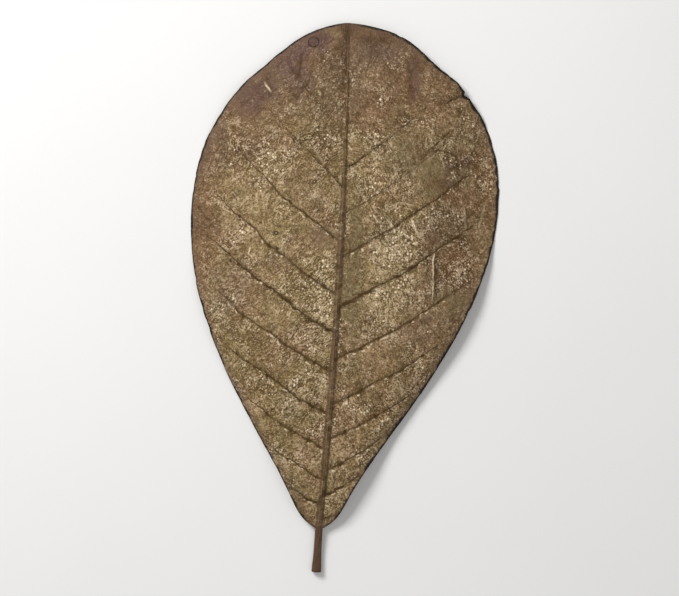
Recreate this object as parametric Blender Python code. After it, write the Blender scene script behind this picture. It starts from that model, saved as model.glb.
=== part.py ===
"""A dried leaf of the Indian almond tree, lying on its lower face.

The leaf lies along Y, with its stalk towards -Y and its tip towards +Y. The blade, the midrib, the
side veins and the stalk grew as one piece, so the leaf is one solid. It starts as a flat grid of
triangles, extruded once, whose points are then carried to their places on the leaf. Both faces are
split into the same triangles, so the thin waved blade never crosses itself.

A point of the leaf has two coordinates. u runs along the midrib, from 0 where the blade starts to 1
at the tip. t runs across one half of the blade, from 0 at the midrib to 1 at the edge. A line of
constant u follows a side vein from the midrib out to the edge.
"""

import math
from collections import namedtuple

import bmesh
import bpy
import numpy as np

MM = 0.001

# Driving dimensions, in metres
BLADE_LENGTH = 173 * MM
BLADE_THICKNESS = 0.7 * MM
STALK_LENGTH = 15 * MM
STALK_RADIUS = 1.3 * MM
STALK_END_SWELL = 0.35 * MM
MIDRIB_TIP_RADIUS = 0.4 * MM
MIDRIB_BOW = 1.9 * MM

# Heights of the dried blade above the surface that it lies on
CROWN_HEIGHT = 8.5 * MM
TIP_HEIGHT = 2.5 * MM
HALF_RISE = 1.3 * MM
PANEL_PUFF = 0.4 * MM
EDGE_PRESS = 2.2 * MM
EDGE_LIFT = 3.5
STALK_PRESS = 0.35 * MM
FOOT_LENGTH = 5 * MM
FLOOR_BLEND = 0.12 * MM

# Raised veins, on the upper and on the lower face
VEIN_FOOT = 0.9 * MM
VEIN_RIDGE_UPPER = 0.15 * MM
VEIN_RIDGE_LOWER = 0.35 * MM
MIDRIB_RIDGE_UPPER = 0.4
MIDRIB_RIDGE_LOWER = 0.9

# The rounded base, where the blade widens from the stalk
BASE_LOBE = 2.6 * MM
BASE_LOBE_AT = 0.03
BLADE_GROWN_WIDTH = 6 * MM

# The nick in the right edge: its place and reach are fractions of the blade's length
NICK_AT = 0.872
NICK_REACH = 0.006
NICK_DEPTH = 1.4 * MM

# The grid: columns on each side of the midrib, and rows along it
COLUMNS = 14
MIDRIB_COLUMNS = 3
EDGE_CROWDING = 1.3
STALK_ROWS = 7
SMALLEST_ROW = 0.0042
LARGEST_ROW = 0.031

# Linear colour of the upper face
LEAF_COLOUR = (0.223, 0.153, 0.084, 1.0)
LEAF_ROUGHNESS = 0.62

# One half of the blade. veins are the places on the midrib where its side veins start. sweep says
# how far the veins run forward, and sag how much they curve. bumps are the flats and shoulders of
# the edge: place, relative height and reach. rest_at is where the edge touches the surface, and
# ripple and waves say how high and how often the edge rises from it.
Half = namedtuple("Half", "side width widest_at tip_power sweep sag veins bumps nick rest_at ripple waves")

LEFT = Half(
    side=-1,
    width=51.2 * MM,
    widest_at=0.615,
    tip_power=0.69,
    sweep=1.85,
    sag=0.05,
    veins=(0.05, 0.10, 0.16, 0.23, 0.31, 0.389, 0.465, 0.567, 0.675, 0.78, 0.87),
    bumps=((0.98, 0.12, 0.02), (0.91, -0.03, 0.03), (0.75, 0.01, 0.07)),
    nick=0.0,
    rest_at=0.64,
    ripple=4.2 * MM,
    waves=2.3,
)
RIGHT = Half(
    side=1,
    width=52.3 * MM,
    widest_at=0.66,
    tip_power=0.60,
    sweep=1.85,
    sag=0.045,
    veins=(0.07, 0.12, 0.18, 0.25, 0.337, 0.441, 0.539, 0.622, 0.71, 0.80, 0.88),
    bumps=((0.985, 0.08, 0.015), (0.93, -0.08, 0.03), (0.86, -0.015, 0.03)),
    nick=NICK_DEPTH,
    rest_at=0.70,
    ripple=5.0 * MM,
    waves=2.0,
)


def smooth(value):
    """A soft step from 0 to 1 while value goes from 0 to 1."""
    value = np.clip(value, 0.0, 1.0)
    return value * value * (3.0 - 2.0 * value)


def edge_place(half, u):
    """How far along the blade, from 0 to 1, the line of constant u meets the edge."""
    return 1.0 - (1.0 - u) ** half.sweep


def midrib_place(half, v):
    """The u whose line meets the edge at v."""
    return 1.0 - (1.0 - v) ** (1.0 / half.sweep)


def half_width(half, v):
    """Width of one half at v: a power curve with its peak at widest_at, times the edge's bumps.

    The base lobe is added near the stalk.
    """
    base_power = half.tip_power * half.widest_at / (1.0 - half.widest_at)
    curve = v ** base_power * (1.0 - v) ** half.tip_power
    peak = half.widest_at ** base_power * (1.0 - half.widest_at) ** half.tip_power
    bumps = sum(height * np.exp(-((v - at) / reach) ** 2) for at, height, reach in half.bumps)
    lobe = BASE_LOBE * v / BASE_LOBE_AT * np.exp(1.0 - v / BASE_LOBE_AT)
    return half.width * curve / peak * (1.0 + bumps) + lobe


def nick_depth(half, v, t):
    """How far the nick, a small V, takes the blade inwards: only close to the edge."""
    return half.nick * np.clip(1.0 - np.abs(v - NICK_AT) / NICK_REACH, 0.0, 1.0) * t ** 12


def midrib_radius(along):
    """Radius of the stalk and the midrib, swollen at the stalk's end and slender at the tip."""
    slender = np.clip(along / BLADE_LENGTH, 0.0, 1.0) ** 0.8
    swell = STALK_END_SWELL * np.exp(-((along + STALK_LENGTH) / FOOT_LENGTH) ** 2)
    return STALK_RADIUS + (MIDRIB_TIP_RADIUS - STALK_RADIUS) * slender + swell


def midrib_height(along):
    """Height of the midrib's middle: flat at the stalk's foot, up to the crown, down to the tip."""
    foot = STALK_RADIUS + STALK_END_SWELL - STALK_PRESS
    lifted = BLADE_LENGTH + STALK_LENGTH - FOOT_LENGTH
    share = np.clip(1.0 - (BLADE_LENGTH - along) / lifted, 0.0, 1.0)
    arch = CROWN_HEIGHT - (foot + TIP_HEIGHT) / 2.0
    return foot + (TIP_HEIGHT - foot) * smooth(share) + arch * np.sin(math.pi * share) ** 1.2


def edge_height(half, v):
    """Height of the edge: pressed on the surface at rest_at, rippled and lifted away from it."""
    away = v - half.rest_at
    ripple = (1.0 - np.cos(2.0 * math.pi * half.waves * away)) / 2.0
    return BLADE_THICKNESS / 2.0 - EDGE_PRESS + half.ripple * (ripple + EDGE_LIFT * away ** 2)


def panel_puff(half, u, t, net):
    """The blade puffs up in panels: net is whole on a cross vein, and the side veins part them too."""
    between_side_veins = np.abs(np.sin(math.pi * np.interp(u, half.veins, range(len(half.veins)))))
    between_cross_veins = np.abs(np.sin(math.pi * net))
    return PANEL_PUFF * between_side_veins * (0.55 + 0.45 * between_cross_veins) * (1.0 - t ** 3)


def vein_ridge(half, u, t):
    """1 on a side vein's crest by the midrib, 0 at its foot, fading out towards the edge."""
    nearest = np.min([np.abs(u - vein) for vein in half.veins], axis=0) * BLADE_LENGTH
    return np.clip(1.0 - nearest / VEIN_FOOT, 0.0, 1.0) * (1.0 - t) ** 0.7


def rest_on_floor(height):
    """Keeps a height from going below 0, with a short smooth bend into the flat."""
    bend = (height + FLOOR_BLEND) ** 2 / (4.0 * FLOOR_BLEND)
    return np.where(height > FLOOR_BLEND, height, np.where(height < -FLOOR_BLEND, 0.0, bend))


def half_points(half, column, along, upper):
    """Places of the points of one half: column counts from the midrib, along is in metres."""
    u = np.clip(along / BLADE_LENGTH, 0.0, 1.0)
    v = edge_place(half, u)
    width = half_width(half, v)
    grown = smooth(width / BLADE_GROWN_WIDTH)
    spread = smooth(width / (0.35 * half.width))
    radius = midrib_radius(along)

    # The stalk's columns lie round its section, and the blade's grow out of its flank
    turn = math.pi / 2.0 * column / COLUMNS
    core = np.minimum(column / MIDRIB_COLUMNS, 1.0)
    outward = np.clip((column - MIDRIB_COLUMNS) / (COLUMNS - MIDRIB_COLUMNS), 0.0, 1.0)
    t = 1.0 - (1.0 - outward) ** EDGE_CROWDING
    rib_across = radius * ((1.0 - grown) * np.sin(turn) + grown * core)
    bow = MIDRIB_BOW * 4.0 * u * (1.0 - u)
    x = half.side * (rib_across + width * t - nick_depth(half, v, t)) + bow
    sag = half.sag * width * 4.0 * t * (1.0 - t)
    y = along + (v - u) * BLADE_LENGTH * t - sag

    # The middle of the blade's thickness
    middle = midrib_height(along)
    z = middle + (edge_height(half, v) - middle) * spread * t ** 2
    net = outward * (COLUMNS - MIDRIB_COLUMNS) / 2.0
    z = z + spread * (HALF_RISE * 4.0 * t * (1.0 - t) + panel_puff(half, u, t, net))

    # The two faces
    stalk_bulge = (radius - BLADE_THICKNESS / 2.0) * np.cos(turn)
    rib_bulge = radius * np.cos(math.pi / 2.0 * core)
    vein = vein_ridge(half, u, t) * spread
    above = (1.0 - grown) * stalk_bulge + grown * MIDRIB_RIDGE_UPPER * rib_bulge + VEIN_RIDGE_UPPER * vein
    below = (1.0 - grown) * stalk_bulge + grown * MIDRIB_RIDGE_LOWER * rib_bulge + VEIN_RIDGE_LOWER * vein
    low = rest_on_floor(z - BLADE_THICKNESS / 2.0 - below)
    high = np.maximum(z + BLADE_THICKNESS / 2.0 + above, low + BLADE_THICKNESS)
    return np.column_stack((x, y, np.where(upper, high, low)))


def row_stations():
    """Distances along the midrib: each side vein has a crest row and two foot rows."""
    crests = sorted(LEFT.veins + RIGHT.veins)
    nick = [midrib_place(RIGHT, NICK_AT + step * NICK_REACH) for step in (-1, 0, 1)]
    rows = [0.0, 1.0] + crests
    foot = VEIN_FOOT / BLADE_LENGTH
    for row in nick + [crest + step * foot for crest in crests for step in (-1, 1)]:
        if min(abs(row - other) for other in rows) > SMALLEST_ROW:
            rows.append(row)
    rows.sort()
    filled = []
    for start, end in zip(rows, rows[1:]):
        parts = math.ceil((end - start) / LARGEST_ROW)
        filled += [start + (end - start) * part / parts for part in range(parts)]
    blade = [row * BLADE_LENGTH for row in filled] + [BLADE_LENGTH]
    stalk = [STALK_LENGTH * (row / STALK_ROWS - 1.0) for row in range(STALK_ROWS)]
    return np.array(stalk + blade)


def flat_slab(columns, rows):
    """A flat unit grid of triangles and its copy one unit above, closed round the rim."""
    mesh = bmesh.new()
    bmesh.ops.create_grid(mesh, x_segments=columns, y_segments=rows, size=0.5)
    bmesh.ops.triangulate(mesh, faces=mesh.faces)
    sheet = mesh.verts[:] + mesh.edges[:] + mesh.faces[:]
    raised = bmesh.ops.extrude_face_region(mesh, geom=sheet, use_keep_orig=True)["geom"]
    corners = [item for item in raised if isinstance(item, bmesh.types.BMVert)]
    bmesh.ops.translate(mesh, verts=corners, vec=(0.0, 0.0, 1.0))
    return mesh


def shape_leaf(mesh, stations):
    """Carries every point of the flat slab to its place on the leaf."""
    flat = np.array([vertex.co[:] for vertex in mesh.verts])
    column = np.rint((flat[:, 0] + 0.5) * 2 * COLUMNS) - COLUMNS
    row = np.rint((flat[:, 1] + 0.5) * (len(stations) - 1)).astype(int)
    upper = flat[:, 2] > 0.5
    left = half_points(LEFT, np.abs(column), stations[row], upper)
    right = half_points(RIGHT, np.abs(column), stations[row], upper)
    points = np.where((column < 0)[:, None], left, right)
    middle = (points.min(axis=0) + points.max(axis=0)) / 2.0
    points[:, :2] -= middle[:2]
    for vertex, point in zip(mesh.verts, points):
        vertex.co = point


def leaf_material():
    """Olive brown, with the soft shine of a dry leathery leaf."""
    material = bpy.data.materials.new("dried_leaf")
    material.use_nodes = True
    shader = material.node_tree.nodes["Principled BSDF"]
    shader.inputs["Base Color"].default_value = LEAF_COLOUR
    shader.inputs["Roughness"].default_value = LEAF_ROUGHNESS
    shader.inputs["Metallic"].default_value = 0.0
    return material


def make_leaf(collection):
    """The leaf as one closed body, standing on z = 0 with its box centred on the origin."""
    stations = row_stations()
    mesh = flat_slab(2 * COLUMNS, len(stations) - 1)
    shape_leaf(mesh, stations)
    bmesh.ops.remove_doubles(mesh, verts=mesh.verts, dist=0.00001)
    bmesh.ops.recalc_face_normals(mesh, faces=mesh.faces)
    data = bpy.data.meshes.new("leaf")
    mesh.to_mesh(data)
    mesh.free()
    data.materials.append(leaf_material())
    data.shade_smooth()
    data.set_sharp_from_angle(angle=math.radians(50.0))
    collection.objects.link(bpy.data.objects.new("leaf", data))


def main():
    for thing in list(bpy.data.objects):
        bpy.data.objects.remove(thing, do_unlink=True)
    collection = bpy.data.collections.new("indian_almond_leaf")
    bpy.context.scene.collection.children.link(collection)
    make_leaf(collection)


main()
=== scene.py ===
"""A dried leaf of the Indian almond tree with its veins, net, wrinkles, stains and colours.

The blade, the midrib, the side veins and the stalk grew as one piece, so the leaf is one closed skin.
It lies along Y on its lower face, with the stalk towards -Y and the tip towards +Y, and it is seen
from straight above.

A point of the leaf has two coordinates. u runs along the midrib, from 0 where the blade starts to 1
at the tip. t runs across one half of the blade, from 0 at the midrib to 1 at the edge. A line of
constant u follows a side vein from the midrib out to the edge.
"""

import math
from collections import namedtuple

import bpy
import numpy as np
from bpy.props import FloatProperty, FloatVectorProperty, IntProperty, PointerProperty
from bpy.types import Operator, Panel, PropertyGroup
from mathutils import Matrix, Vector


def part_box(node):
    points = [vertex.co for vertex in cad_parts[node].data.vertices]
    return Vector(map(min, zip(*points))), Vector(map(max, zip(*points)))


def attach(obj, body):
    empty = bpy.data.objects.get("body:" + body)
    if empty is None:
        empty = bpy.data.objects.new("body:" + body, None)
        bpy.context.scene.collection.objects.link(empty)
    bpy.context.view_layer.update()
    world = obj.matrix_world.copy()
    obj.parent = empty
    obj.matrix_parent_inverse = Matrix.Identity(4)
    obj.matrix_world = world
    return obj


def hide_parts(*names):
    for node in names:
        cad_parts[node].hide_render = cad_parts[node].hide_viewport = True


bl_info = {
    "name": "Dried almond leaf",
    "version": (1, 0, 0),
    "blender": (4, 5, 0),
    "location": "3D View > Sidebar > Leaf",
    "description": "Builds a dried, veined and stained leaf and the table that it lies on",
    "category": "Add Mesh",
}

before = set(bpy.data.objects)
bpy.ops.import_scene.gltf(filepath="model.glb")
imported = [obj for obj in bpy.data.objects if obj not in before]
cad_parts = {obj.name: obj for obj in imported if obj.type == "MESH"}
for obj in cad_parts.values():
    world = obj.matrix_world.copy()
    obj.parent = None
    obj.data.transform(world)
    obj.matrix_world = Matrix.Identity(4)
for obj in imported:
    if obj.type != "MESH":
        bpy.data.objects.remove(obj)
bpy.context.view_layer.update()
LEAF_LOW, LEAF_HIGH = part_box("leaf")

MM = 0.001

# The leaf's own frame: lengths along it come from the solid's box
STALK_LENGTH = 15 * MM
BLADE_LENGTH = LEAF_HIGH.y - LEAF_LOW.y - STALK_LENGTH
STALK_RADIUS = 1.3 * MM
STALK_END_SWELL = 0.35 * MM
MIDRIB_TIP_RADIUS = 0.4 * MM
MIDRIB_BOW = 1.9 * MM

# Heights of the dried blade above the surface that it lies on, as in the solid
SOLID_THICKNESS = 0.7 * MM
CROWN_HEIGHT = 8.5 * MM
TIP_HEIGHT = 2.5 * MM
HALF_RISE = 1.3 * MM
PANEL_PUFF = 0.4 * MM
EDGE_PRESS = 2.2 * MM
EDGE_LIFT = 3.5
STALK_PRESS = 0.35 * MM
FOOT_LENGTH = 5 * MM
FLOOR_BLEND = 0.12 * MM

# The rounded base, where the blade widens from the stalk
BASE_LOBE = 2.6 * MM
BASE_LOBE_AT = 0.03
BLADE_GROWN_WIDTH = 6 * MM

# The nick in the right edge: its place and reach are fractions of the blade's length
NICK_AT = 0.872
NICK_REACH = 0.006
NICK_DEPTH = 1.4 * MM

# The blade rises in a low ridge towards the midrib
RIB_RIDGE = 0.7 * MM
RIB_RIDGE_REACH = 3.6 * MM

# The grid of the lower face. The upper face has twice as many rows and columns.
CORE_SHARE = 3.0 / 14.0
CORE_COLUMNS = 4
HALF_COLUMNS = 44
EDGE_CROWDING = 1.3
STALK_ROWS = 14
VEIN_FOOT = 0.9 * MM
SMALLEST_ROW = 0.0020
LARGEST_ROW = 0.0058

# Ladder veins run from one side vein to the next. In each of the gaps they are shifted at random,
# and the shift changes over this share of a gap on both sides of the side vein.
LADDER_GAP = 6.2 * MM
LADDER_LEAN = 0.6
LADDER_SHIFTS = 64
SHIFT_BLEND = 0.13

# The fork of a side vein leaves it at about this t and would have crossed this share of the gap at
# the last t. Its width is a share of the side vein's.
FORK_START, FORK_END = 0.62, 1.15
FORK_SPREAD = 0.52
FORK_WIDTH = 0.45

# Two grooves beside the midrib: depth, distance from its side and width
GROOVE_DEPTH, GROOVE_OFF, GROOVE_WIDTH = 0.16 * MM, 0.55 * MM, 0.45 * MM

# The puckered place on the right: its middle, its reach and its height
PUCKER_X, PUCKER_Y = 38.7 * MM, 46.6 * MM
PUCKER_REACH_X, PUCKER_REACH_Y = 6.0 * MM, 8.0 * MM
PUCKER_HEIGHT = 0.5 * MM

# The edge is worn along lines from this place on the leaf's middle line
WEAR_CENTRE = 20 * MM

# Squares along each side of the random lattices, after which the noise repeats
LATTICE = 256

# The skin: distance between its painted glints, cells of the finest net and the size of their
# unevenness, wrinkles from the lowest to the highest value of the noise that they follow, softness
# of the round stains' borders in millimetres, and how much light the dry skin mirrors
GLINT_GAP = 0.90 * MM
NET_CELL = 1.3 * MM
NET_STIR = MM / 0.7
WRINKLES = 5.0
SPOT_SOFT = 0.18
LEAF_SPECULAR = 0.2

# The stage: half the table's side, the two lights' places and sizes in metres, and the picture's
# size in pixels
TABLE_REACH = 3.0
KEY_PLACE, KEY_SIZE = (-0.42, 0.40, 0.55), 0.30
FILL_PLACE, FILL_SIZE = (0.25, -0.20, 0.95), 0.90
PICTURE_WIDTH, PICTURE_HEIGHT = 679, 596

# One half of the blade. veins are the places on the midrib where its side veins start, and strong
# says how clearly each one shows. sweep says how far they run forward, and sag how much they curve.
# bumps are the flats and shoulders of the edge: place, relative height and reach. rest_at is where
# the edge touches the surface, and ripple and waves say how high and how often the edge rises.
Half = namedtuple(
    "Half", "side width widest_at tip_power sweep sag veins strong bumps nick rest_at ripple waves"
)

LEFT = Half(
    side=-1,
    width=51.2 * MM,
    widest_at=0.615,
    tip_power=0.69,
    sweep=1.85,
    sag=0.05,
    veins=(0.05, 0.10, 0.16, 0.23, 0.31, 0.389, 0.465, 0.567, 0.675, 0.78, 0.87),
    strong=(0.6, 0.7, 0.8, 0.9, 0.9, 0.85, 1.0, 0.65, 0.35, 0.3, 0.15),
    bumps=((0.98, 0.12, 0.02), (0.91, -0.03, 0.03), (0.75, 0.01, 0.07)),
    nick=0.0,
    rest_at=0.64,
    ripple=4.2 * MM,
    waves=2.3,
)
RIGHT = Half(
    side=1,
    width=52.3 * MM,
    widest_at=0.66,
    tip_power=0.60,
    sweep=1.85,
    sag=0.045,
    veins=(0.07, 0.12, 0.18, 0.25, 0.337, 0.441, 0.539, 0.622, 0.71, 0.80, 0.88),
    strong=(0.6, 0.7, 0.8, 0.9, 1.0, 1.0, 0.90, 0.3, 0.42, 0.25, 0.15),
    bumps=((0.985, 0.08, 0.015), (0.93, -0.08, 0.03), (0.86, -0.015, 0.03)),
    nick=NICK_DEPTH,
    rest_at=0.70,
    ripple=5.0 * MM,
    waves=2.0,
)

# Creases of the blade, in millimetres: the two ends, height of the fold, its width and the step
# from its left to its right side
Crease = namedtuple("Crease", "start end height width step")
CREASE_ROWS = (
    ((31.8, 19.5), (30.6, 1), 0.45, 0.7, -0.35),
    ((19, 85), (21.4, 66.5), -0.35, 1.2, 0.2),
    ((37.6, 71.6), (31.2, 67.6), -0.25, 0.6, 0.2),
    ((-18.6, 84.5), (-17.4, 72.5), -0.22, 0.8, 0),
    ((35, 53.5), (43.5, 39), -0.4, 1.6, 0),
    ((-44, 4), (-49.5, 20), 0.3, 1.4, 0),
)
CREASES = [Crease(*row) for row in CREASE_ROWS]

# Patches of the upper face: name, centre and reach in millimetres, the colour's name, how strongly
# it covers, how ragged its border is, and how much it quiets the grain, or livens it when below 0
# The patches in gold are painted golden sheen. rib_shade and rib_shade_left are painted shade beside the
# midrib, and crease_shade is painted shade along a crease.
Patch = namedtuple("Patch", "name centre reach colour cover ragged calm")
PATCH_ROWS = (
    ("upper_third", (0, 90), (80, 42), "dusk", 0.7, 0.5, 0.36),
    ("tip_shade", (3, 95), (40, 17), "dusk", 0.85, 0.6, 0.4),
    ("left_slope", (-38, 69), (16, 13), "dusk", 0.95, 0.8, 0.3),
    ("left_shoulder", (-36, 58), (18, 18), "russet", 0.45, 0.9, 0.2),
    ("left_fold", (-33, 49.5), (7, 7), "dusk", 0.5, 0.9, 0.1),
    ("left_corner", (-34, 70), (12, 8), "dusk", 0.6, 0.9, 0.2),
    ("left_top_margin", (-34, 70), (10, 13), "plum", 0.5, 0.9, 0.3),
    ("left_margin", (-52, 22), (11, 42), "russet", 0.85, 0.7, 0.4),
    ("left_margin_foot", (-47, 24), (8, 8), "dusk", 0.45, 0.9, 0.1),
    ("left_upper_margin", (-49, 51), (10, 15), "dusk", 0.9, 0.8, 0.35),
    ("left_middle", (-27, 28), (13, 12), "gold", 0.65, 0.9, 0.1),
    ("left_olive", (-15, 38), (9, 8), "moss", 0.3, 0.9, 0.2),
    ("vein_foot_left", (-6.5, 20.5), (5, 5), "plum", 0.45, 0.9, 0.6),
    ("low_vein_left", (-22, 11), (7, 4), "plum", 0.22, 0.9, 0.3),
    ("low_left", (-15, 0), (16, 9), "gold", 0.25, 0.9, -0.1),
    ("golden_area", (17, 8.5), (13, 20), "gold", 0.8, 0.8, -0.6),
    ("low_right_shade", (28, -9), (10, 8), "dusk", 0.55, 0.8, 0.5),
    ("golden_gap", (15.5, 22.8), (9.5, 5), "moss", 0.85, 0.9, 0.2),
    ("golden_side", (32.5, 9.5), (4.5, 6), "dusk", 0.4, 0.9, 0),
    ("right_middle_deep", (22.5, 50), (7, 8), "dusk", 0.45, 0.9, 0.1),
    ("golden_peak", (21.5, 18.5), (6.5, 6), "gold", 0.95, 0.8, -0.9),
    ("golden_top", (8.5, 37), (7, 8), "gold", 0.15, 0.9, -0.5),
    ("right_middle", (19.5, 49), (10, 9), "moss", 0.8, 0.9, 0.35),
    # Painted shade on the midrib's right flank, away from the key light
    ("rib_shade", (4.3, 11), (4.2, 36), "moss", 0.95, 0.5, 0.6),
    ("rib_shade_left", (-4.5, 20), (4, 6), "moss", 0.6, 0.7, 0.4),
    ("rib_sheen_top", (4, 55), (4.5, 5), "gold", 0.35, 0.7, -0.2),
    ("outer_right", (37, 18), (13, 40), "dusk", 0.62, 0.6, 0.15),
    ("grey_hollow", (29.5, 43), (6, 11), "moss", 0.8, 0.8, 0.6),
    ("right_margin", (49, 43), (9, 22), "russet", 0.7, 0.8, 0),
    ("right_shoulder", (24, 74), (18, 14), "russet", 0.45, 0.9, 0.1),
    ("above_crown", (8, 62), (9, 8), "russet", 0.5, 0.9, 0.2),
    ("purple_stain", (-20.5, 81.5), (10, 8), "plum", 0.85, 0.6, 0.6),
    ("purple_tail", (-17.5, 72), (5, 8), "plum", 0.55, 0.9, 0.3),
    ("crease_shade", (20.8, 76), (3.5, 11), "plum", 0.6, 0.7, 0.4),
    ("puckered", (38, 47.5), (5.5, 7), "plum", 0.55, 0.7, 0.3),
    ("pucker_foot", (34.5, 42), (4, 4), "plum", 0.35, 0.9, 0.4),
    ("pucker_low", (40.5, 42.5), (5, 5), "moss", 0.6, 0.9, 0.4),
    ("below_pucker", (39, 36), (8, 4.5), "russet", 0.65, 0.9, 0.1),
    ("grey_blob", (30.3, 22.5), (3.4, 3.4), "dusk", 0.7, 0.7, 0.7),
    ("red_patch", (39.5, 14), (8, 9), "russet", 0.95, 0.9, 0),
    ("red_foot", (41, 8), (5, 4), "dusk", 0.5, 0.9, 0.2),
    ("right_corner", (39.5, 72), (5, 7), "rose", 0.7, 0.9, 0),
    ("low_right", (38, 1), (9, 6), "moss", 0.7, 0.8, 0.5),
    ("tip_ochre", (-7.3, 90.4), (4, 3), "gold", 0.4, 0.8, 0.2),
    ("tip_left", (-13, 87.5), (7, 5), "plum", 0.85, 0.6, 0.3),
    ("tip_right", (7, 90.5), (13, 4), "russet", 0.7, 0.8, 0.5),
    ("tip_right_dark", (6.5, 89), (7, 4), "dusk", 0.85, 0.8, 0.4),
    ("tip_right_deep", (6, 90.5), (10, 5), "umber", 0.55, 0.8, 0.2),
    ("rosy_top", (7.5, 75), (5.5, 7), "rose", 0.4, 0.9, 0),
    ("rosy_stain", (9.5, 83), (7, 4.5), "plum", 0.45, 0.9, 0.1),
    ("left_bright", (-24, 44), (8, 6), "gold", 0.65, 0.9, -0.4),
    ("pale_left", (-31, 1.5), (3.5, 4), "gold", 0.3, 0.8, 0),
    ("low_left_margin", (-36, 2), (9, 16), "dusk", 0.5, 0.8, 0.25),
    # Painted light on the midrib's lit left flank
    ("left_of_rib", (-5, 2), (5, 16), "gold", 0.75, 0.9, -0.8),
    ("crown_grey", (-7, 56), (9, 5), "moss", 0.35, 0.9, 0),
)
PATCHES = [Patch(*row) for row in PATCH_ROWS]

# Creases painted in light and shade: centre in millimetres, turn in degrees against the clock from
# +Y, half length and half width in millimetres, how strong the line's painted highlight or else its
# painted shade is, and how dark the painted shade on its right side is
Fold = namedtuple("Fold", "centre turn reach width pale dark shade")
FOLD_ROWS = (
    ((31.3, 10.2), 1.5, 10.5, 0.34, 0.6, 0, 0.65),
    ((20, 76), -6.5, 10.5, 0.8, 0, 0.45, 0.1),
    ((-18, 78.4), -3.5, 6, 0.6, 0, 0.7, 0),
    ((-14.3, 69), 39, 5.6, 0.55, 0, 0.6, 0.1),
    ((-19.7, 75), 39, 4.2, 0.45, 0, 0.5, 0),
    ((-28.8, 70.3), 34, 2.4, 0.45, 0.6, 0, 0.2),
    ((41, 29.5), 8, 4.5, 0.55, 0.22, 0, 0.12),
    ((47, 31), -14, 5.5, 0.6, 0.22, 0, 0.15),
    ((35, 70), -57, 4.4, 0.45, 0, 0.8, 0),
    ((30.6, 55), -45, 6, 0.5, 0, 0.9, 0),
    ((29.2, 53), -33, 3, 0.45, 0, 0.8, 0),
    ((26.2, 49.9), -41, 2.6, 0.45, 0, 0.75, 0),
    ((30.3, 51.8), -80, 3, 0.45, 0, 0.75, 0),
    ((34.8, 51.2), 66, 3.2, 0.5, 0, 0.8, 0),
    ((37.2, 47.6), 4, 4.8, 1, 0, 0.55, 0),
    ((38.4, 41.8), -32, 3, 0.6, 0, 0.85, 0),
    ((41.2, 44), -78, 2.4, 0.55, 0, 0.75, 0),
    ((28.6, 49.6), -52, 2.4, 0.4, 0.2, 0, 0),
    ((32.2, 48.2), 18, 3, 0.45, 0.2, 0, 0),
    ((23.8, 26), 28, 3, 0.55, 0.7, 0, 0.4),
    ((16.1, 25.2), 32, 2.8, 0.55, 0.85, 0, 0.25),
    ((10.6, 27.4), 32, 1.9, 0.45, 0.7, 0, 0.2),
    ((20.5, 33), 82, 3.4, 0.55, 0.3, 0, 0.2),
    ((-31.4, 14), -12, 1.7, 0.45, 0.8, 0, 0),
)
FOLDS = [Fold(*row) for row in FOLD_ROWS]

# Round stains: centre, outer and inner radius in millimetres, and how dark they are
Spot = namedtuple("Spot", "centre outer inner dark")
SPOT_ROWS = (
    ((-14, 86.7), 2.05, 1.5, 0.75),
    ((-22.8, 20.7), 0.75, 0.35, 0.9),
    ((-22, 15.5), 0.6, -0.5, 0.8),
    ((-37.8, 10.5), 0.5, -0.5, 0.6),
)
SPOTS = [Spot(*row) for row in SPOT_ROWS]


def screen_colour(red, green, blue):
    """Linear colour, with alpha, of a colour given in screen values from 0 to 255."""
    channels = np.array((red, green, blue)) / 255.0
    linear = np.where(channels > 0.04045, ((channels + 0.055) / 1.055) ** 2.4, channels / 12.92)
    return (*(float(channel) for channel in linear), 1.0)


def colour_property(name, description, red, green, blue):
    """A colour that the user can change, given in screen values."""
    return FloatVectorProperty(
        name=name,
        description=description,
        subtype="COLOR",
        size=4,
        min=0.0,
        max=1.0,
        default=screen_colour(red, green, blue),
    )


def number_property(name, description, default, **settings):
    """A number that the user can change."""
    return FloatProperty(name=name, description=description, default=default, **settings)


def length_property(name, description, millimetres):
    """A length that the user can change."""
    return number_property(name, description, millimetres * MM, unit="LENGTH")


class LeafSizes(PropertyGroup):
    """Sizes of the leaf's fine forms."""

    thickness: length_property("Blade thickness", "Thickness of the dried blade at its edge", 0.36)
    vein_width: length_property("Side vein width", "Half the width of a strong vein at the midrib", 0.66)
    vein_ridge: length_property("Side vein height", "Height of a side vein above the upper face", 0.15)
    vein_keel: length_property("Side vein depth", "Height of a side vein below the lower face", 0.35)
    vein_wobble: length_property("Vein wobble", "How far the veins wander from their smooth curves", 0.7)
    crinkle: length_property("Crinkle", "Height of the wrinkles of the dried blade", 0.45)
    pillow_size: length_property("Pillow size", "Distance between the small pillows", 2.6)
    pillow_height: length_property("Pillow height", "Height of the small pillows", 0.10)
    edge_wear: length_property("Edge wear", "How uneven the leaf's edge is", 0.13)
    seed: IntProperty(name="Seed", description="Starts all random draws", default=7, min=0)


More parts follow.
